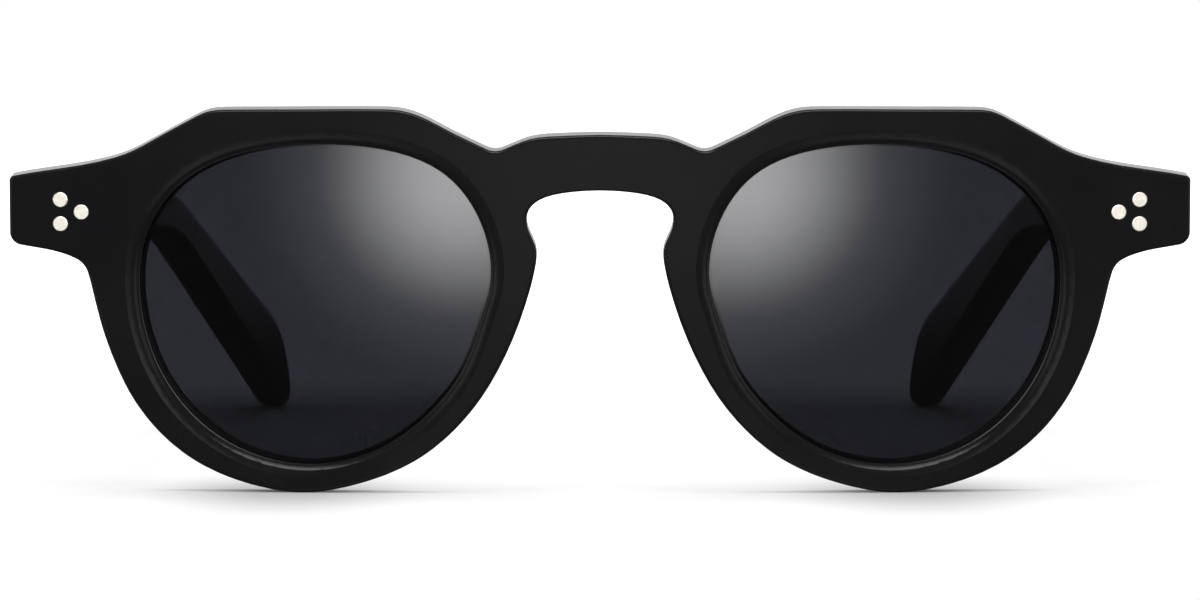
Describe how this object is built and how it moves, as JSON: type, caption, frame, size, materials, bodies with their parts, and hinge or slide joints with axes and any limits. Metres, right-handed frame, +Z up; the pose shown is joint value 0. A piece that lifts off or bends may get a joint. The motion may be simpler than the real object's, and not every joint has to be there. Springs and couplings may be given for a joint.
{
  "type": "sunglasses",
  "caption": "Round acetate sunglasses with a saddle bridge, tinted lenses, riveted end pieces and folding temples.",
  "frame": {"origin": "on the table, at the middle of the box round the open sunglasses", "axes": "+Z up; the front faces -Y and the temples run back along +Y; +X is the wearer's left"},
  "size_m": [0.1458, 0.1506, 0.0478],
  "materials": {
    "black_acetate": "polished, with a soft sheen",
    "tinted_lens": "polished dark grey tint",
    "rivet_steel": "polished",
    "hinge_steel": "tumbled",
    "screw_steel": "plated",
    "core_nickel": "drawn wire"
  },
  "bodies": {
    "front_frame": {"front": "black_acetate", "left_lens": "tinted_lens", "left_nose_pad": "black_acetate", "left_front_hinge_leaf": "hinge_steel", "left_hinge_screw": "screw_steel", "left_front_rivet_1": "rivet_steel", "left_front_rivet_2": "rivet_steel", "left_front_rivet_3": "rivet_steel", "right_lens": "tinted_lens", "right_nose_pad": "black_acetate", "right_front_hinge_leaf": "hinge_steel", "right_hinge_screw": "screw_steel", "right_front_rivet_1": "rivet_steel", "right_front_rivet_2": "rivet_steel", "right_front_rivet_3": "rivet_steel"},
    "left_arm": {"left_temple": "black_acetate", "left_temple_hinge_leaf": "hinge_steel", "left_core_wire": "core_nickel", "left_temple_rivet_1": "rivet_steel", "left_temple_rivet_2": "rivet_steel", "left_temple_rivet_3": "rivet_steel"},
    "right_arm": {"right_temple": "black_acetate", "right_temple_hinge_leaf": "hinge_steel", "right_core_wire": "core_nickel", "right_temple_rivet_1": "rivet_steel", "right_temple_rivet_2": "rivet_steel", "right_temple_rivet_3": "rivet_steel"}
  },
  "joints": [
    {"name": "left_temple_fold", "type": "hinge", "parent": "front_frame", "child": "left_arm", "pos_m": [0.06655, -0.06168, 0.03534], "axis": [0, 0.0666, 0.9978], "range_deg": [0, 78]},
    {"name": "right_temple_fold", "type": "hinge", "parent": "front_frame", "child": "right_arm", "pos_m": [-0.06655, -0.06168, 0.03534], "axis": [0, -0.0666, -0.9978], "range_deg": [0, 68]}
  ]
}
